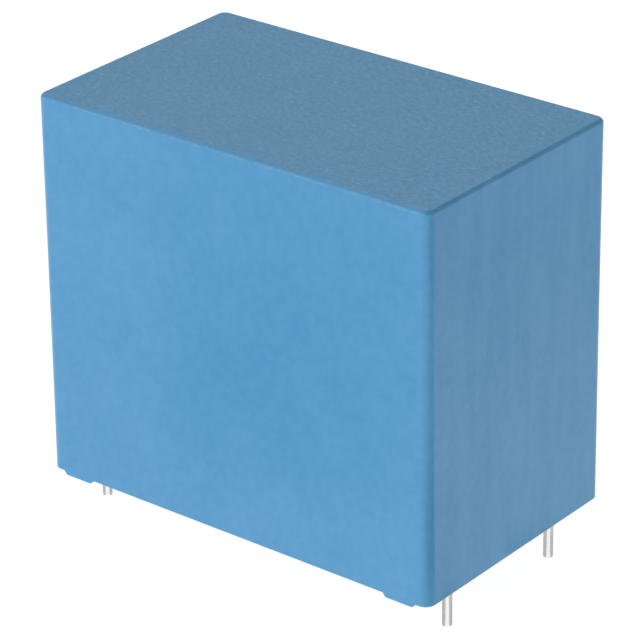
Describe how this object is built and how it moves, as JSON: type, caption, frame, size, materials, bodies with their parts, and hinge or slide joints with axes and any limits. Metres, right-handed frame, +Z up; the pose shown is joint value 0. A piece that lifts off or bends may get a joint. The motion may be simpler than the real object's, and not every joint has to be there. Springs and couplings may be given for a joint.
{
  "type": "box film capacitor",
  "caption": "Upright film capacitor in a rectangular moulded case potted with resin, with round wire leads at both ends for soldering into a circuit board.",
  "frame": {"origin": "middle of the lead pattern on the seating plane, under the standoff feet", "axes": "+X along the case's length, +Y across it to the back, +Z up from the board to the closed top; the leads point down -Z"},
  "size_m": [0.0576, 0.0344, 0.0554],
  "materials": {
    "case": "light blue moulded plastic, fine spark-eroded grain",
    "resin": "cast epoxy, self-levelled",
    "film": "wound metallised film",
    "zinc": "sprayed metal, dull and grainy",
    "tinned_wire": "tinned copper wire, bright"
  },
  "bodies": {
    "root": {"case": "case", "potting_resin": "resin", "winding_front": "film", "winding_back": "film", "contact_front_left": "zinc", "contact_front_right": "zinc", "contact_back_left": "zinc", "contact_back_right": "zinc", "lead_front_left": "tinned_wire", "lead_front_right": "tinned_wire", "lead_back_left": "tinned_wire", "lead_back_right": "tinned_wire"}
  },
  "joints": []
}
